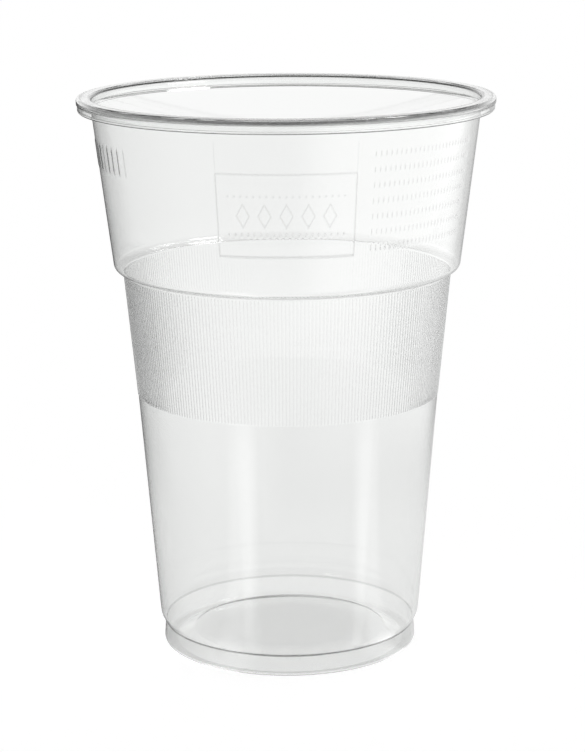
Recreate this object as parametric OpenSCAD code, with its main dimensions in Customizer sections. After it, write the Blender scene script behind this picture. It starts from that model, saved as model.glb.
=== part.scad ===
// Clear party cup for one pint, drawn from one sheet of plastic: a thin tapered shell with a rolled rim,
// a nesting shoulder, a finely ribbed grip band and a hollow foot ring.
// Millimetres, +Z up, origin at the centre of the ring that the cup stands on.

/* [Shell] */
// Height from the table to the top of the rim
cup_h = 132; // [125:1:145]
// Thickness of the drawn sheet in the wall and the floor
wall = 0.3; // [0.25:0.05:0.5]

/* [Rim] */
// Diameter over the rolled rim
rim_d = 97.5; // [94:0.5:102]
// Width of the rolled rim, from its inner face to its outside
rim_w = 3.55; // [3:0.05:4.5]
// Height of the rolled rim's skirt, up to the top of the rim
rim_h = 3.3; // [2.8:0.1:4.5]
// Thickness of the rolled edge
rim_wall = 0.6; // [0.45:0.05:0.7]
// Rounding of the rim's outer top edge
bead_round = 1.1; // [0.8:0.1:1.3]
// Rounding of the rim's inner top edge
lip_round = 0.9; // [0.7:0.1:1.2]
// Height of the rim's inner face
lip_h = 2.8; // [2.4:0.1:3.2]
// Set-back of the rim's inner face from the wall's inner face
lip_step = 0.05; // [0.05:0.05:0.2]
// Height over which the top of the wall runs up inside the rim
lip_lap = 0.8; // [0.5:0.1:1]
// How far the skirt stands back from the bead above it
skirt_inset = 0.25; // [0.1:0.05:0.4]
// Height of the bead, from its lower edge to the top of the rim
bead_h = 1.5; // [1.4:0.1:1.8]
// How far the skirt's lower edge curls in under the rim
curl_w = 1.2; // [0.9:0.1:1.5]
// Rounding of the skirt's lower edge
curl_round = 0.75; // [0.7:0.05:0.9]

/* [Shoulder] */
// Outside diameter of the upper wall where it reaches the shoulder
shoulder_d = 81.5; // [80:0.1:84]
// Height of the inner corner where the shoulder leaves the grip band
shoulder_z = 91.1; // [83:0.1:98]
// Rise of the shoulder from its inner corner to its outer corner
shoulder_h = 0.8; // [0.5:0.1:1.6]
// Rounding of the shoulder's outer corner
shoulder_round = 1.75; // [1:0.25:2.5]
// Rounding of the shoulder's inner corner
step_round = 0.35; // [0.2:0.05:0.6]

/* [Grip band] */
// Outside diameter of the wall at the top of the grip band
grip_top_d = 77.2; // [75.6:0.2:78]
// Outside diameter of the wall at the bottom of the grip band
grip_bottom_d = 71.45; // [69:0.05:73]
// Height of the bottom of the grip band
grip_z = 61.5; // [50:0.5:68]
// Number of ribs around the grip band
rib_count = 284; // [180:4:320]
// Height of the rib crests over the wall
rib_depth = 0.1; // [0.08:0.02:0.3]
// Height of the rib roots over the wall
rib_root = 0.03; // [0.02:0.01:0.06]
// Plain strip between the upper ends of the ribs and the shoulder
rib_margin = 0.35; // [0.3:0.05:1]

/* [Foot] */
// Outside diameter of the wall where it turns in to the foot
heel_d = 62.5; // [61.8:0.1:64]
// Height at which the wall turns in to the foot
heel_z = 6.9; // [6.2:0.1:9]
// Rounding of the heel
heel_round = 4; // [2:0.25:5]
// Diameter of the crease between the heel and the foot ring
crease_d = 60.3; // [59.4:0.1:60.8]
// Height of the foot ring, up to the crease
foot_h = 5.1; // [3.8:0.1:5.6]
// Rounding of the crease
crease_round = 0.35; // [0.2:0.05:0.6]
// Outside diameter of the foot ring at the table
foot_d = 61; // [60.4:0.1:62]
// Width of the foot ring's underside
foot_w = 3.1; // [2.6:0.1:4]
// Rounding of the foot ring's lower edges
foot_round = 0.9; // [0.7:0.05:1.2]
// Diameter of the raised floor disc
floor_d = 46; // [40:0.5:50]
// Height of the raised floor disc's upper face
floor_z = 2.4; // [1.4:0.1:3.4]
// Rounding of the floor disc's edge
floor_round = 1; // [0.5:0.1:2]

/* [Hidden] */

// Steps in each rounded corner and segments around the cup
arc_steps = 6;
turn_steps = 180;
// Overrun of cutting shapes past the faces they cut
cut_over = 1;

rim_r = rim_d / 2;
lip_r = rim_r - rim_w;
skirt_r = rim_r - skirt_inset;
skirt_z = cup_h - rim_h;
bead_z = cup_h - bead_h;
lip_z = cup_h - lip_h;
mouth_r = lip_r - lip_step + wall;
mouth_z = lip_z + lip_lap;
grip_top_r = grip_top_d / 2;
grip_bottom_r = grip_bottom_d / 2;
grip_slope = (grip_top_r - grip_bottom_r) / (shoulder_z - grip_z);
rib_h = shoulder_z - rib_margin - grip_z;
rib_top_r = grip_bottom_r + grip_slope * rib_h;
foot_r = foot_d / 2;

// Outer face of the sheet, from the middle of the floor to the mouth: radius, height, corner rounding
shell_path = [
    [0, floor_z - wall, 0],
    [floor_d / 2, floor_z - wall, floor_round],
    [foot_r - foot_w, 0, foot_round],
    [foot_r, 0, foot_round],
    [crease_d / 2, foot_h, crease_round],
    [heel_d / 2, heel_z, heel_round],
    [grip_bottom_r, grip_z, 0],
    [grip_top_r, shoulder_z, step_round],
    [shoulder_d / 2, shoulder_z + shoulder_h, shoulder_round],
    [mouth_r, mouth_z, 0],
];

// Outer face of the rolled rim, from its curled edge over the top to its inner face
rim_path = [
    [skirt_r - curl_w, skirt_z, 0],
    [skirt_r, skirt_z, curl_round],
    [skirt_r, bead_z - skirt_inset, skirt_inset],
    [rim_r, bead_z, skirt_inset],
    [rim_r, cup_h, bead_round],
    [lip_r, cup_h, lip_round],
    [lip_r, lip_z, 0],
];

// Geometry of a sheet that follows a path with rounded corners
function flat(p) = [p.x, p.y];
function direction(a, b) = (flat(b) - flat(a)) / norm(flat(b) - flat(a));
function left_of(d) = [-d.y, d.x];
function turned(v, angle) = [v.x * cos(angle) - v.y * sin(angle), v.x * sin(angle) + v.y * cos(angle)];
function bend(u, v) = atan2(cross(u, v), u * v);
function backwards(list) = [for (i = [len(list) - 1:-1:0]) list[i]];

// Arc that rounds the corner b between a and c, held within the stretches on either side
function corner(a, b, c) =
    let (
        u = direction(a, b),
        v = direction(b, c),
        angle = bend(u, v),
        reach = min(norm(flat(b) - flat(a)), norm(flat(c) - flat(b))) * 0.49,
        radius = min(b.z, reach / tan(abs(angle) / 2)),
        start = flat(b) - u * radius * tan(abs(angle) / 2),
        centre = start + left_of(u) * radius * sign(angle)
    )
    radius > 0
        ? [for (k = [0:arc_steps]) centre + turned(start - centre, angle * k / arc_steps)]
        : [flat(b)];

function rounded(path) = [
    flat(path[0]),
    for (i = [1:len(path) - 2]) each corner(path[i - 1], path[i], path[i + 1]),
    flat(path[len(path) - 1]),
];

// The same path moved to its left, with each rounding kept concentric
function shifted_end(p, d, gap) = [p.x - d.y * gap, p.y + d.x * gap, 0];
function shifted_corner(a, b, c, gap) =
    let (
        u = direction(a, b),
        v = direction(b, c),
        move = (left_of(u) + left_of(v)) * gap / (1 + u * v),
        radius = b.z > 0 ? max(b.z - gap * sign(bend(u, v)), 0) : 0
    )
    [b.x + move.x, b.y + move.y, radius];
function shifted(path, gap) =
    let (last = len(path) - 1)
    [
        shifted_end(path[0], direction(path[0], path[1]), gap),
        for (i = [1:last - 1]) shifted_corner(path[i - 1], path[i], path[i + 1], gap),
        shifted_end(path[last], direction(path[last - 1], path[last]), gap),
    ];

// Section of a sheet of even thickness whose outer face follows the path
module sheet_section(path, thickness) {
    polygon(concat(rounded(path), backwards(rounded(shifted(path, thickness)))));
}

// Ring of ribs that taper with the grip band, rooted in the wall
module grip_ribs() {
    step = 360 / rib_count;
    ridges = [
        for (i = [0:rib_count - 1], crest = [0, 1])
            (grip_bottom_r + (crest ? rib_depth : rib_root)) * [cos((i + crest / 2) * step), sin((i + crest / 2) * step)]
    ];
    translate([0, 0, grip_z])
        difference() {
            linear_extrude(height = rib_h, scale = rib_top_r / grip_bottom_r) polygon(ridges);
            translate([0, 0, -cut_over])
                cylinder(
                    h = rib_h + 2 * cut_over,
                    r1 = grip_bottom_r - wall / 2 - grip_slope * cut_over,
                    r2 = rib_top_r - wall / 2 + grip_slope * cut_over,
                    $fn = turn_steps
                );
        }
}

// The whole cup, one sheet from floor to rim
module cup() {
    color([0.93, 0.94, 0.94, 0.35]) {
        rotate_extrude($fn = turn_steps) {
            sheet_section(shell_path, wall);
            sheet_section(rim_path, rim_wall);
        }
        grip_ribs();
    }
}

cup();
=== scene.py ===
"""A clear plastic pint cup on a white table: one revolved sheet with a rolled rim and a ribbed grip band.

The cup's skin is worked out here from the same section as its solid, with rounded ribs and the low
relief of the upper wall as real shape. Lengths are in millimetres until the mesh is made.
"""

import math

import bpy
import numpy as np
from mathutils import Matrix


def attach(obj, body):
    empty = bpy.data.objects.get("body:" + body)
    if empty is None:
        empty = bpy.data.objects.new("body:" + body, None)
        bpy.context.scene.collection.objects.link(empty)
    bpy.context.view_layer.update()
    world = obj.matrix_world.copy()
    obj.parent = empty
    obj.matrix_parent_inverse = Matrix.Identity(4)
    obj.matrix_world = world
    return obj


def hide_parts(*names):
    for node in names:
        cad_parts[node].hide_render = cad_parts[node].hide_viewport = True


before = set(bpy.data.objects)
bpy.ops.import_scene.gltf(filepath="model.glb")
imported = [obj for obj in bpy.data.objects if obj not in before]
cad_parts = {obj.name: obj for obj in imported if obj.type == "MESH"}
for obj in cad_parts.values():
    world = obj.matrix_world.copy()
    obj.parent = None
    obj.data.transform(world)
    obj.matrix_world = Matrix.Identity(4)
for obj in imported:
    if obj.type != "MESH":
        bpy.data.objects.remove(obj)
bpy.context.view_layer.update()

MM = 0.001

# Section of the sheet
cup_h = 132
wall = 0.3
rim_d = 97.5
rim_w = 3.55
rim_h = 3.3
rim_wall = 0.6
bead_round = 1.1
bead_h = 1.5
lip_round = 0.9
lip_h = 2.8
lip_step = 0.05
lip_lap = 0.8
skirt_inset = 0.25
curl_w = 1.2
curl_round = 0.75
shoulder_d = 81.5
shoulder_z = 91.1
shoulder_h = 0.8
shoulder_round = 1.75
step_round = 0.35
grip_top_d = 77.2
grip_bottom_d = 71.45
grip_z = 61.5
heel_d = 62.5
heel_z = 6.9
heel_round = 4
crease_d = 60.3
crease_round = 0.35
foot_h = 5.1
foot_d = 61
foot_w = 3.1
foot_round = 0.9
floor_d = 46
floor_z = 2.4
floor_round = 1

rim_r = rim_d / 2
lip_r = rim_r - rim_w
lip_z = cup_h - lip_h
skirt_r = rim_r - skirt_inset
skirt_z = cup_h - rim_h
bead_z = cup_h - bead_h
mouth_r = lip_r - lip_step + wall
mouth_z = lip_z + lip_lap
foot_inside = foot_d / 2 - foot_w

# Ribs of the grip band: the powers narrow the crests and the painted shade marks in the grooves
rib_count = 284
rib_depth = 0.1
rib_root = 0.03
rib_margin = 0.35
rib_end = 0.2
rib_top = shoulder_z - rib_margin
crest_power = 2
groove_power = 8

# Fineness of the skin
ring_columns = 160
rib_columns = 8
rib_rows = 4
arc_step = math.radians(9)
corner_share = 0.49
support = 0.25
long_stretch = 4 * support
longest_row = 9
sharp_angle = math.radians(50)


# Section paths: each point is radius, height and the rounding of its corner

def unit(vector):
    """A vector divided by its length."""
    return vector / np.linalg.norm(vector)


def left_of(direction):
    """A direction turned a quarter turn to its left."""
    return np.array([-direction[1], direction[0]])


def bend(before, after):
    """Signed angle from one direction to the next: the arc tangent of their cross and dot products."""
    return math.atan2(before[0] * after[1] - before[1] * after[0], before @ after)


def corner_arc(start, corner, end):
    """The arc that rounds a corner: its centre lies a rounding to the inner side of the incoming edge. The
    arc keeps to a share of the shorter stretch beside it."""
    point = np.array(corner[:2], float)
    incoming = unit(point - start[:2])
    outgoing = unit(np.array(end[:2], float) - point)
    angle = bend(incoming, outgoing)
    shorter = min(np.linalg.norm(point - start[:2]), np.linalg.norm(np.array(end[:2]) - point))
    rounding = min(corner[2], corner_share * shorter / math.tan(abs(angle) / 2))
    if rounding <= 0:
        return point[None, :]
    centre = point - incoming * rounding * math.tan(abs(angle) / 2)
    centre = centre + left_of(incoming) * rounding * np.sign(angle)
    spoke = -left_of(incoming) * rounding * np.sign(angle)
    turns = np.linspace(0, angle, max(2, math.ceil(abs(angle) / arc_step)) + 1)
    cosine, sine = np.cos(turns), np.sin(turns)
    return centre + np.stack([spoke[0] * cosine - spoke[1] * sine, spoke[0] * sine + spoke[1] * cosine], 1)


def rounded(path):
    """The points of a path with every inner corner replaced by its arc."""
    inner = [corner_arc(*path[i - 1:i + 2]) for i in range(1, len(path) - 1)]
    return np.concatenate([np.array([path[0][:2]], float), *inner, np.array([path[-1][:2]], float)])


def shifted(path, gap):
    """A path moved to its left by a gap: corners slide along their mitres and roundings shrink or grow."""
    points = np.array([p[:2] for p in path], float)
    ways = [unit(step) for step in np.diff(points, axis=0)]
    ways = [ways[0], *ways, ways[-1]]
    moved = []
    for (radius, height, rounding), before, after in zip(path, ways[:-1], ways[1:]):
        mitre = (left_of(before) + left_of(after)) * gap / (1 + before @ after)
        inner = max(rounding - gap * np.sign(bend(before, after)), 0) if rounding > 0 else 0
        moved.append([radius + mitre[0], height + mitre[1], inner])
    return moved


def supported(points):
    """A polyline with extra points close to both ends of its long stretches, and evenly between those."""
    rows = [points[:1]]
    for start, end in zip(points[:-1], points[1:]):
        length = np.linalg.norm(end - start)
        if length > long_stretch:
            inner = np.linspace(support, length - support, math.ceil(length / longest_row) + 1)
            rows.append(start + (end - start) * (inner / length)[:, None])
        rows.append(end[None, :])
    return np.concatenate(rows)


def cut_at(points, height):
    """A rising polyline split in two at a height; both halves hold the point of the cut."""
    last = np.flatnonzero(points[:, 1] < height)[-1]
    share = (height - points[last, 1]) / (points[last + 1, 1] - points[last, 1])
    cut = points[last] + (points[last + 1] - points[last]) * share
    return np.vstack([points[:last + 1], cut]), np.vstack([cut, points[last + 1:]])


shell_path = [
    [0, floor_z - wall, 0],
    [floor_d / 2, floor_z - wall, floor_round],
    [foot_inside, 0, foot_round],
    [foot_d / 2, 0, foot_round],
    [crease_d / 2, foot_h, crease_round],
    [heel_d / 2, heel_z, heel_round],
    [grip_bottom_d / 2, grip_z, 0],
    [grip_top_d / 2, shoulder_z, step_round],
    [shoulder_d / 2, shoulder_z + shoulder_h, shoulder_round],
    [mouth_r, mouth_z, 0],
]
rim_path = [
    [skirt_r - curl_w, skirt_z, 0],
    [skirt_r, skirt_z, curl_round],
    [skirt_r, bead_z - skirt_inset, skirt_inset],
    [rim_r, bead_z, skirt_inset],
    [rim_r, cup_h, bead_round],
    [lip_r, cup_h, lip_round],
    [lip_r, lip_z, 0],
]


# Skin of the cup

class Skin:
    """A closed skin gathered ring by ring: points with their painted shade marks, and faces of four and
    three sides.
    """

    def __init__(self):
        self.points = []
        self.painted_shade = []
        self.groove_shade = []
        self.quads = [np.empty((0, 4), int)]
        self.triangles = []
        self.count = 0

    def add(self, points, painted_shade=0.0, groove_shade=0.0):
        """Adds an array of points, whatever its shape, and returns their indices in the same shape."""
        flat = points.reshape(-1, 3)
        indices = np.arange(self.count, self.count + len(flat)).reshape(points.shape[:-1])
        self.points.append(flat)
        self.painted_shade.append(np.broadcast_to(painted_shade, indices.shape).ravel())
        self.groove_shade.append(np.broadcast_to(groove_shade, indices.shape).ravel())
        self.count += len(flat)
        return indices

    def rings(self, points, painted_shade=0.0, groove_shade=0.0):
        """Adds a grid of rings by columns, joined to each other and round the back by quads."""
        grid = self.add(points, painted_shade, groove_shade)
        beside = np.roll(grid, -1, axis=1)
        quads = np.stack([grid[:-1], beside[:-1], beside[1:], grid[1:]], -1)
        self.quads.append(quads.reshape(-1, 4))
        return grid

    def zip(self, lower, lower_turns, upper, upper_turns):
        """Joins two rings of unlike columns: their angles are merged in order, and each one met adds the
        triangle between the edge that ends there and the point reached on the other ring."""
        n, m = len(lower), len(upper)
        ends = np.concatenate([lower_turns[1:], [np.inf], upper_turns[1:], [np.inf]])
        is_lower = np.arange(n + m) < n
        order = np.argsort(ends, kind="stable")
        is_lower = is_lower[order]
        i = np.cumsum(is_lower) - is_lower
        j = np.cumsum(~is_lower) - ~is_lower
        second = np.where(is_lower, lower[(i + 1) % n], upper[(j + 1) % m])
        self.triangles.append(np.stack([lower[i % n], second, upper[j % m]], 1))

    def fan(self, ring, centre, first):
        """Closes a ring with triangles to one centre point, before the first ring or after the last one."""
        beside = np.roll(ring, -1)
        pole = np.full(len(ring), centre)
        sides = [pole, beside, ring] if first else [ring, beside, pole]
        self.triangles.append(np.stack(sides, 1))

    def mesh(self, name):
        """The skin as a smooth mesh in metres, with its painted shade marks as attributes and its sharp
        corners marked.
        """
        points = np.concatenate(self.points) * MM
        quads = np.concatenate(self.quads)
        triangles = np.concatenate(self.triangles)
        corners = np.concatenate([quads.ravel(), triangles.ravel()])
        starts = np.concatenate([np.arange(len(quads)) * 4, quads.size + np.arange(len(triangles)) * 3])
        mesh = bpy.data.meshes.new(name)
        mesh.vertices.add(len(points))
        mesh.vertices.foreach_set("co", points.ravel())
        mesh.loops.add(len(corners))
        mesh.loops.foreach_set("vertex_index", corners.astype(np.int32))
        mesh.polygons.add(len(starts))
        mesh.polygons.foreach_set("loop_start", starts.astype(np.int32))
        mesh.update(calc_edges=True)
        mesh.validate()
        mesh.shade_smooth()
        for title, values in (("painted_shade", self.painted_shade), ("groove_shade", self.groove_shade)):
            mark = mesh.attributes.new(title, "FLOAT", "POINT")
            mark.data.foreach_set("value", np.concatenate(values).astype(np.float32))
        mesh.set_sharp_from_angle(angle=sharp_angle)
        return mesh


def even_turns(count):
    """Angles from the back round to the back again, evenly spaced; zero faces the front."""
    return np.linspace(-math.pi, math.pi, count, endpoint=False)


def revolved(radius, height, turns):
    """Points at an angle from the front: x is radius times its sine, y minus radius times its cosine."""
    radius, height, turns = np.broadcast_arrays(radius, height, turns)
    return np.stack([radius * np.sin(turns), -radius * np.cos(turns), height], -1)


def section_rings(points, turns):
    """A polyline of radius and height carried round the axis."""
    return revolved(points[:, :1], points[:, 1:], turns[None, :])


def ridge(distance, width):
    """A smooth ridge: half of one plus the cosine, from one on the line to nought at half the width."""
    return 0.5 + 0.5 * np.cos(math.pi * np.clip(np.abs(distance) * 2 / width, 0, 1))


def plateau(value, low, high, edge):
    """One between two bounds and nought outside, with straight edges of a given width, inside the bounds."""
    return np.clip(np.minimum(value - low, high - value) / edge, 0, 1)


def repeated(value, pitch):
    """Distance to the nearest multiple of a pitch."""
    return np.abs(value - pitch * np.round(value / pitch))


# Low relief of the upper wall: angles and columns in degrees from the front, the rest in millimetres
panel_half = 20.5
panel_low = 101.1
panel_high = 119.5
panel_line = 0.5
panel_relief = 0.1
panel_margin = 1
panel_column = 0.25
seam_relief = 0.03
seam_top = 127
seam_edge = 1
lozenge_count = 5
lozenge_pitch = 6.4
lozenge_h = 5.2
lozenge_half = 1.9
lozenge_relief = 0.07
dot_rows = (105.9, 114.7)
dot_pitch = 1.9
dot_size = 0.8
dot_reach = panel_half - 2
bar_from = -84
bar_to = -56
bar_pitch = 3.6
bar_low = 116
bar_high = 122.8
bar_edge = 0.5
bar_relief = 0.12
bar_margin = 2
bar_column = 0.3
tick_from = 26
tick_to = 66
tick_pitch = 1.7
tick_rows = 7
tick_low = 102.5
tick_step = 3.5
tick_h = 1.6
tick_edge = 0.4
tick_relief = 0.08
tick_margin = 1
tick_column = 0.34
group_margin = 1
group_edge = 0.3
left_column = 2.5
right_column = 1
plain_column = 3
relief_low = 99
relief_high = 127.4
relief_row = 0.35


def upper_relief(turns, height, radius):
    """Height of the relief over the wall: a framed panel with lozenges and dots, bars on its left and rows
    of ticks on its right. Each is a ridge or plateau of the distance along the wall and up it, and the
    highest counts."""
    degrees = np.degrees(turns)
    along = turns * radius
    half = math.radians(panel_half) * radius
    middle = (panel_low + panel_high) / 2
    frame_gap = np.maximum(np.abs(along) - half, np.abs(height - middle) - (panel_high - panel_low) / 2)
    relief = panel_relief * ridge(frame_gap, panel_line)
    seams = ridge(np.abs(along) - half, panel_line) * plateau(height, panel_high, seam_top, seam_edge)
    relief = np.maximum(relief, seam_relief * seams)
    reach = (lozenge_count - 1) / 2
    column = np.clip(np.round(degrees / lozenge_pitch), -reach, reach)
    across = np.abs(degrees - column * lozenge_pitch) / lozenge_half
    upright = np.abs(height - middle) / (lozenge_h / 2)
    lozenges = ridge((across + upright - 1) * lozenge_h / 4, panel_line)
    relief = np.maximum(relief, lozenge_relief * lozenges)
    in_panel = plateau(degrees, -dot_reach, dot_reach, group_edge)
    for row in dot_rows:
        dots = np.hypot(math.radians(1) * radius * repeated(degrees, dot_pitch), height - row)
        relief = np.maximum(relief, lozenge_relief * in_panel * ridge(dots, dot_size))
    bars = ridge(np.radians(repeated(degrees - bar_from, bar_pitch)) * radius, panel_line)
    bars = bars * plateau(degrees, bar_from - group_margin, bar_to + group_margin, group_edge)
    bars = bars * plateau(height, bar_low, bar_high, bar_edge)
    relief = np.maximum(relief, bar_relief * bars)
    ticks = ridge(np.radians(repeated(degrees - tick_from, tick_pitch)) * radius, panel_line)
    level = tick_low + tick_step * np.clip(np.round((height - tick_low) / tick_step), 0, tick_rows - 1)
    ticks = ticks * plateau(height - level, -tick_h / 2, tick_h / 2, tick_edge)
    ticks = ticks * plateau(degrees, tick_from - group_margin, tick_to + group_margin, group_edge)
    return np.maximum(relief, tick_relief * ticks)


def relief_turns():
    """Angles of the upper wall's columns: fine where there is relief and coarse elsewhere."""
    bars = (bar_from - bar_margin, bar_to + bar_margin)
    panel = (-panel_half - panel_margin, panel_half + panel_margin)
    ticks = (tick_from - tick_margin, tick_to + tick_margin)
    bounds = [-180, *bars, *panel, *ticks, 180]
    columns = [plain_column, bar_column, left_column, panel_column, right_column, tick_column, plain_column]
    pieces = []
    for start, end, column in zip(bounds[:-1], bounds[1:], columns):
        pieces.append(np.linspace(start, end, max(1, round((end - start) / column)), endpoint=False))
    return np.radians(np.concatenate(pieces))


# Painted shade: darkening painted into the sheet's colour along the roll, the creases, the wall and the foot
bead_low = cup_h - 1.34
bead_top = cup_h - 0.15
bead_end = cup_h - 0.05
bead_painted_shade = (0.7, 0.62, 0)
bead_line = 0.56
bead_dark = 0.99
bead_side = 0.3
bead_behind = 0.3
crown_fade = 0.2
lip_line_low = cup_h - 0.8
lip_line_high = cup_h - 0.3
lip_line_dark = 0.99
line_edge = 0.1
skirt_edge = 0.3
skirt_painted_shade = 0.9
relief_painted_shade = 0.42
wall_shade = 0.03
step_shade = 0.3
step_line = 0.2
shade_heights = (0, 5, 8, 45, 58)
shade_shares = (0.12, 0.12, 0.12, 0.1, 0.06)
# Two painted highlight strips up the lower wall, where no shade is painted
painted_highlight_turns = (-16, 30)
painted_highlight_half = 3.5
painted_highlight_edge = 2
crease_shade = 0.9
crease_line = 0.22
crease_behind = 0.5
foot_shade = 0.16
floor_shade = 0.22
side_level = 0.5
side_slope = 1.5


def in_front(turns):
    """One in front and nought at the back, changing with the cosine of the angle at the sides."""
    return np.clip(side_level + side_slope * np.cos(turns), 0, 1)[None, :]


def roll_painted_shade(points, turns):
    """Painted shade on the rolled edge. The bead's outside starts with a thin painted dark line at its
    lower end, falls off evenly toward the crown and is weaker toward the sides and the back. Thin painted
    dark lines run along the skirt's lower edge and the lip. The rest of the section has none."""
    radius, height = points.T
    outer = np.clip((radius - rim_r + bead_round + crown_fade) / crown_fade, 0, 1)
    band = np.interp(height, [bead_low, bead_top, bead_end], bead_painted_shade)
    band = np.maximum(band, bead_dark * plateau(height, bead_low, bead_low + bead_line, line_edge))
    band = band * np.clip((height - bead_low) / line_edge, 0, 1)
    ahead = np.clip((np.cos(turns) - bead_side) / (1 - bead_side), 0, 1)[None, :]
    band = (band * outer)[:, None] * (bead_behind + (1 - bead_behind) * ahead)
    skirt = skirt_painted_shade * (height < skirt_z + skirt_edge) * (radius > skirt_r - curl_round)
    lip = lip_line_dark * plateau(height, lip_line_low, lip_line_high, line_edge)
    lip = lip * (radius < lip_r + lip_round)
    return np.maximum(band, np.maximum(skirt, lip)[:, None])


def low_painted_shade(points, turns):
    """Painted shade under the ribs: by height on the outside, with two painted highlight strips up the wall
    that have none, an even share on the floor disc and none on the slope round it. More shade is painted in
    the front of the foot ring, and most along the crease as a painted dark line, less at its back."""
    radius, height = points.T
    shade_share = np.interp(height, shade_heights, shade_shares)
    shade_share = np.where(radius < foot_inside, 0, shade_share)
    shade_share = np.where(radius < floor_d / 2 - floor_round, floor_shade, shade_share)
    degrees = np.degrees(turns)
    highlight_strips = sum(plateau(degrees, turn - painted_highlight_half, turn + painted_highlight_half, painted_highlight_edge) for turn in painted_highlight_turns)
    shade_share = shade_share[:, None] * (1 - (height > foot_h)[:, None] * highlight_strips[None, :])
    in_foot = (height > foot_round) * (height < foot_h) * (radius > foot_inside)
    foot = (foot_shade * in_foot)[:, None] * in_front(turns)
    from_crease = np.hypot(radius - crease_d / 2, height - foot_h)
    crease = (crease_shade * (from_crease < crease_line))[:, None]
    crease = crease * (crease_behind + (1 - crease_behind) * in_front(turns))
    return np.maximum(shade_share + foot, crease)


def step_painted_shade(points, turns):
    """Painted shade along the shoulder's inner corner: a dark line, most in front and none at the back."""
    from_corner = np.hypot(points[:, 0] - grip_top_d / 2, points[:, 1] - shoulder_z)
    return (step_shade * (from_corner < step_line))[:, None] * in_front(turns)


def rib_rings(turns):
    """The ribbed band: the wall's cone plus a root and a depth times a power of half of one plus the cosine
    of the rib's phase, faded out at both ends. The groove marks, painted shade in the grooves, are a higher
    power of half of one minus that cosine."""
    inner = np.linspace(grip_z + 2 * rib_end, rib_top - 2 * rib_end, rib_rows)
    height = np.concatenate([[grip_z, grip_z + rib_end], inner, [rib_top - rib_end, rib_top]])[:, None]
    cone = np.interp(height, [grip_z, shoulder_z], [grip_bottom_d / 2, grip_top_d / 2])
    phase = np.cos(rib_count * turns[None, :])
    crest = (0.5 + 0.5 * phase) ** crest_power
    valley = (0.5 - 0.5 * phase) ** groove_power
    fade = plateau(height, grip_z, rib_top, rib_end)
    radius = cone + fade * (rib_root + (rib_depth - rib_root) * crest)
    return revolved(radius, height, turns[None, :]), 0.0, fade * valley


def relief_rings(low, high, turns):
    """The upper wall between two points of its section, with its relief added to the radius, and the painted
    shade there: a little all over and more in step with the relief."""
    height = np.linspace(low[1], high[1], round((high[1] - low[1]) / relief_row))[:, None]
    cone = np.interp(height, [low[1], high[1]], [low[0], high[0]])
    relief = plateau(height, low[1], high[1], relief_row) * upper_relief(turns[None, :], height, cone)
    painted_shade = wall_shade + relief_painted_shade * relief / panel_relief
    return revolved(cone + relief, height, turns[None, :]), painted_shade


def cup_skin():
    """The whole cup as one closed skin, from the middle of its underside out, up, over the rim and back
    down the inside to the middle of its floor."""
    outside = supported(rounded(shell_path))
    below_ribs, rest = cut_at(outside, grip_z)
    rest = cut_at(rest, rib_top)[1]
    shoulder, rest = cut_at(rest, relief_low)
    rest = cut_at(rest, relief_high)[1]
    neck = cut_at(rest, lip_z)[0]
    inside_roll = supported(rounded(shifted(rim_path, rim_wall)))[::-1]
    inside = supported(rounded(shifted(shell_path, wall)))[::-1]
    outside_roll = supported(rounded(rim_path[:-1] + [[lip_r, inside[0, 1], 0]]))
    over = np.concatenate([neck[1:], inside_roll, outside_roll, inside[:-1]])

    ring_turns = even_turns(ring_columns)
    rib_turns = even_turns(rib_count * rib_columns)
    wall_turns = relief_turns()
    skin = Skin()
    under = skin.add(np.array([[0, 0, outside[0, 1]]]))
    top = skin.add(np.array([[0, 0, inside[-1, 1]]]))
    low = skin.rings(section_rings(below_ribs[1:-1], ring_turns), low_painted_shade(below_ribs[1:-1], ring_turns))
    ribs = skin.rings(*rib_rings(rib_turns))
    middle = skin.rings(section_rings(shoulder[1:-1], ring_turns), step_painted_shade(shoulder[1:-1], ring_turns))
    relief = skin.rings(*relief_rings(shoulder[-1], rest[0], wall_turns))
    high = skin.rings(section_rings(over, ring_turns), roll_painted_shade(over, ring_turns))
    skin.fan(low[0], under[0], True)
    skin.zip(low[-1], ring_turns, ribs[0], rib_turns)
    skin.zip(ribs[-1], rib_turns, middle[0], ring_turns)
    skin.zip(middle[-1], ring_turns, relief[0], wall_turns)
    skin.zip(relief[-1], wall_turns, high[0], ring_turns)
    skin.fan(high[-1], top[0], False)
    return skin.mesh("cup_skin")


# Shader trees

class Wire:
    """A socket of a shader tree. Arithmetic on wires adds Math nodes, and node() adds any other node."""

    def __init__(self, tree, socket=None):
        self.tree = tree
        self.socket = socket

    def node(self, kind, settings=None, sockets=None, output=0):
        """Adds a node: its settings are set first, then its sockets' values or links; returns an output."""
        made = self.tree.nodes.new(kind)
        for name, value in (settings or {}).items():
            setattr(made, name, value)
        for name, value in (sockets or {}).items():
            if isinstance(value, Wire):
                self.tree.links.new(value.socket, made.inputs[name])
            else:
                made.inputs[name].default_value = value
        return Wire(self.tree, made.outputs[output] if len(made.outputs) else None)

    def math(self, operation, first, second):
        """Adds a Math node on two wires or numbers."""
        return self.node("ShaderNodeMath", {"operation": operation}, {0: first, 1: second})

    def __add__(self, other):
        return self.math("ADD", self, other)

    def __radd__(self, other):
        return self.math("ADD", other, self)

    def __sub__(self, other):
        return self.math("SUBTRACT", self, other)

    def __rsub__(self, other):
        return self.math("SUBTRACT", other, self)

    def __mul__(self, other):
        return self.math("MULTIPLY", self, other)

    def __rmul__(self, other):
        return self.math("MULTIPLY", other, self)

    def least(self, other):
        """The smaller of two values."""
        return self.math("MINIMUM", self, other)

    def steps(self, low, high):
        """Nought below low, one above high and a smooth rise between."""
        settings = {"interpolation_type": "SMOOTHSTEP"}
        return self.node("ShaderNodeMapRange", settings, {"Value": self, "From Min": low, "From Max": high})


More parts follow.
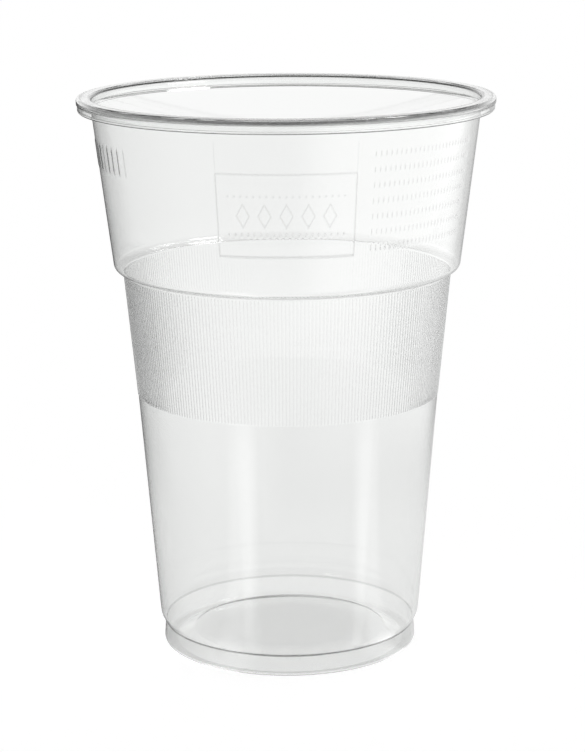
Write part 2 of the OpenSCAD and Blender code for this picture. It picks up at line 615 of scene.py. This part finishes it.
# Places of the sockets of a Mix node for colours
MIX_SHARE = 0
MIX_FROM = 6
MIX_TO = 7
MIXED = 2


def new_material(name):
    """An empty material and its tree."""
    material = bpy.data.materials.new(name)
    material.use_nodes = True
    material.node_tree.nodes.clear()
    return material, Wire(material.node_tree)


def mirror_ray(tree):
    """One for a ray that was mirrored on its way, and nought for one that came straight or only bent."""
    return tree.node("ShaderNodeLightPath", output="Glossy Depth").least(1)


# Clear plastic: the depth of its waviness is in metres
sheet_tint = (0.96, 0.965, 0.96, 1)
# Near-black tint that the painted shade marks darken the sheet toward
painted_shade_tint = (0.01, 0.01, 0.01, 1)
shadow_tint = (0.93, 0.93, 0.93, 1)
sheet_roughness = 0.02
refraction = 1.49
groove_gain = 2.2
groove_most = 0.95
shade_most = 0.99
even_blend = 0.5
wave_scale = 55
wave_stretch = (1, 1, 0.25)
wave_detail = 1
wave_strength = 0.07
wave_depth = 0.0004


def clear_plastic():
    """Clear drawn sheet: it bends light as plastic does, has a slow waviness drawn out along the cup's
    height, and is tinted darker by its painted shade marks. A groove's painted shade counts by a gain times
    one minus the facing cosine. Light on its way to the table goes straight through, a little dimmed."""
    material, tree = new_material("clear_plastic")
    place = tree.node("ShaderNodeTexCoord", output="Object")
    stretch = {"Vector": place, "Scale": wave_stretch}
    drawn = tree.node("ShaderNodeMapping", {"vector_type": "POINT"}, stretch)
    noise = {"Vector": drawn, "Scale": wave_scale, "Detail": wave_detail}
    waves = tree.node("ShaderNodeTexNoise", {}, noise)
    swell = {"Height": waves, "Strength": wave_strength, "Distance": wave_depth}
    normal = tree.node("ShaderNodeBump", {}, swell, "Normal")
    painted_shade = tree.node("ShaderNodeAttribute", {"attribute_name": "painted_shade"}, output="Fac")
    groove_shade = tree.node("ShaderNodeAttribute", {"attribute_name": "groove_shade"}, output="Fac")
    facing = tree.node("ShaderNodeLayerWeight", {}, {"Blend": even_blend, "Normal": normal}, "Facing")
    darkened = (painted_shade + groove_shade * (groove_gain * facing).least(groove_most)).least(shade_most)
    tints = {MIX_SHARE: darkened, MIX_FROM: sheet_tint, MIX_TO: painted_shade_tint}
    tint = tree.node("ShaderNodeMix", {"data_type": "RGBA"}, tints, MIXED)
    sockets = {
        "Base Color": tint,
        "Roughness": sheet_roughness,
        "IOR": refraction,
        "Transmission Weight": 1,
        "Normal": normal,
    }
    glass = tree.node("ShaderNodeBsdfPrincipled", {}, sockets)
    clear = tree.node("ShaderNodeBsdfTransparent", {}, {"Color": shadow_tint})
    shadow = tree.node("ShaderNodeLightPath", output="Is Shadow Ray")
    sheet = tree.node("ShaderNodeMixShader", {}, {0: shadow, 1: glass, 2: clear})
    tree.node("ShaderNodeOutputMaterial", {}, {"Surface": sheet})
    return material


# Light on the table: the shares that the room and the sun give, and the glow that makes them up to white
table_white = 0.4
room_light = 0.375
sun_light = 0.075
sun_turn = 80
sun_rise = 52
sun_spread = 20
table_glow = 1 - table_white * room_light - sun_light

# The table in mirror images, a painted glow that only reflections see: angles off the front in degrees,
# their spread as cosines, distances in metres
bright_turn = 72
bright_from = 0.3
bright_to = 0.8
bright_near = 0.12
bright_far = 0.3
bright_glow = 2.15
dark_turn = -125
dark_from = 0.3
dark_to = 0.9
dark_share = 0.9
dark_glow = 0.65
streak_turns = (-33, 58)
streak_from = 0.975
streak_glow = 1.3
streak_near = 0.15
streak_far = 0.2
near_glow = 1
far_glow = 0.6
side_glow = 0.6
glow_near = 0.08
glow_far = 0.22


def toward(tree, flat, turn):
    """How far a level direction points to an angle off the front: the cosine between them."""
    aim = (math.sin(math.radians(turn)), -math.cos(math.radians(turn)), 0)
    return tree.node("ShaderNodeVectorMath", {"operation": "DOT_PRODUCT"}, {0: flat, 1: aim}, "Value")


def painted_reflection_glow(tree):
    """Painted glow of the table, seen only in mirror images, which paints the cup's reflections: light on
    one side far off, darkest on the other, with two painted highlight streaks close to the foot. Where a
    mirror image is seen through the sheet, it is a glow that fades with distance, less so on the light side."""
    place = tree.node("ShaderNodeTexCoord", output="Object")
    distance = tree.node("ShaderNodeVectorMath", {"operation": "LENGTH"}, {0: place}, "Value")
    flat = tree.node("ShaderNodeVectorMath", {"operation": "NORMALIZE"}, {0: place})
    side = toward(tree, flat, bright_turn).steps(bright_from, bright_to)
    bright = side * distance.steps(bright_near, bright_far)
    dark = dark_glow * (1 - dark_share * toward(tree, flat, dark_turn).steps(dark_from, dark_to))
    light = dark + (bright_glow - dark_glow) * bright
    near = 1 - distance.steps(streak_near, streak_far)
    for turn in streak_turns:
        light = light + streak_glow * near * toward(tree, flat, turn).steps(streak_from, 1)
    within = near_glow - (near_glow - far_glow - side_glow * side) * distance.steps(glow_near, glow_far)
    bent = tree.node("ShaderNodeLightPath", output="Is Transmission Ray")
    return light * (1 - bent) + within * bent


def white_table():
    """Plain white table: white to the eye but for the shadow on it, with a painted glow of its own in mirror
    images."""
    material, tree = new_material("white_table")
    mirrored = tree.node("ShaderNodeEmission", {}, {"Color": painted_reflection_glow(tree), "Strength": 1})
    matt = tree.node("ShaderNodeBsdfDiffuse", {}, {"Color": (table_white, table_white, table_white, 1)})
    glow = tree.node("ShaderNodeEmission", {}, {"Color": (1, 1, 1, 1), "Strength": table_glow})
    both = tree.node("ShaderNodeAddShader", {}, {0: matt, 1: glow})
    seen = tree.node("ShaderNodeMixShader", {}, {0: mirror_ray(tree), 1: both, 2: mirrored})
    tree.node("ShaderNodeOutputMaterial", {}, {"Surface": seen})
    return material


# The cup

scene = bpy.context.scene
cup = bpy.data.objects.new("cup_sheet", cup_skin())
cup.data.materials.append(clear_plastic())
scene.collection.objects.link(cup)
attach(cup, "root")
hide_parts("cup")


# Table

table_r = 3000
table_z = -0.02
table_columns = 96


def table_disc():
    """A flat disc: one ring of points and a fan to its middle."""
    skin = Skin()
    middle = skin.add(np.array([[0, 0, table_z]]))
    ring = skin.add(revolved(table_r, table_z, even_turns(table_columns)))
    skin.fan(ring, middle[0], False)
    return skin.mesh("table_disc")


table = bpy.data.objects.new("table", table_disc())
table.data.materials.append(white_table())
scene.collection.objects.link(table)


# Light: each darkness overhead sets in between two rises of the direction

mirror_dark = 0.9
mirror_rises = (0.15, 0.4)
inner_dark = 0.7
inner_rises = (0.1, 0.45)
through_dark = 0.75
through_rises = (0.2, 0.6)


def key_light():
    """A broad even sun from an angle off the front and a rise above the table. Its strength gives the table
    its share of light: the share times pi, over the table's white and the sine of the rise."""
    lamp = bpy.data.lights.new("key_light", "SUN")
    lamp.angle = math.radians(sun_spread)
    lamp.energy = sun_light * math.pi / table_white / math.sin(math.radians(sun_rise))
    sun = bpy.data.objects.new("key_light", lamp)
    sun.rotation_euler = (math.radians(90 - sun_rise), 0, math.radians(sun_turn))
    return sun


def studio():
    """The air around: white to the eye, dim as a light, and darker overhead in what comes through the sheet,
    in its mirror images and in those seen through it, each by a share times a smooth step of the rise."""
    world = bpy.data.worlds.new("studio")
    world.use_nodes = True
    world.node_tree.nodes.clear()
    tree = Wire(world.node_tree)
    way = tree.node("ShaderNodeTexCoord", output="Generated")
    rise = tree.node("ShaderNodeSeparateXYZ", {}, {0: way}, "Z")
    seen = tree.node("ShaderNodeLightPath", output="Is Camera Ray")
    bent = tree.node("ShaderNodeLightPath", output="Is Transmission Ray")
    mirrored = mirror_ray(tree)
    through = bent * (1 - mirrored) * (1 - through_dark * rise.steps(*through_rises))
    outer = mirror_dark * rise.steps(*mirror_rises) * (1 - bent)
    inner = inner_dark * rise.steps(*inner_rises) * bent
    room = room_light * (1 - seen) * (1 - bent) * (1 - mirrored)
    shine = seen + through + mirrored * (1 - outer - inner) + room
    air = tree.node("ShaderNodeBackground", {}, {"Color": (1, 1, 1, 1), "Strength": shine})
    tree.node("ShaderNodeOutputWorld", {}, {"Surface": air})
    return world


scene.collection.objects.link(key_light())
scene.world = studio()


# Camera: its place in metres, its turns in degrees and its focal length in pixels of the photograph

photo_w = 585
focal_px = 2381.1
eye_place = (0.00108, -0.5539, 0.1943)
eye_tilt = 76.835
eye_roll = -0.37
sensor_w = 36
nearest = 0.01


def eye():
    """The camera: its lens is the sensor's width times the focal length over the picture's width."""
    lens = bpy.data.cameras.new("eye")
    lens.sensor_fit = "HORIZONTAL"
    lens.sensor_width = sensor_w
    lens.lens = sensor_w * focal_px / photo_w
    lens.clip_start = nearest
    holder = bpy.data.objects.new("eye", lens)
    holder.location = eye_place
    holder.rotation_euler = (math.radians(eye_tilt), 0, 0)
    holder.rotation_euler.rotate_axis("Z", math.radians(eye_roll))
    return holder


camera = eye()
scene.collection.objects.link(camera)
scene.camera = camera
scene.view_settings.view_transform = "Standard"
scene.cycles.transparent_max_bounces = 32
scene.cycles.max_bounces = 24
scene.cycles.transmission_bounces = 24
scene.cycles.glossy_bounces = 12
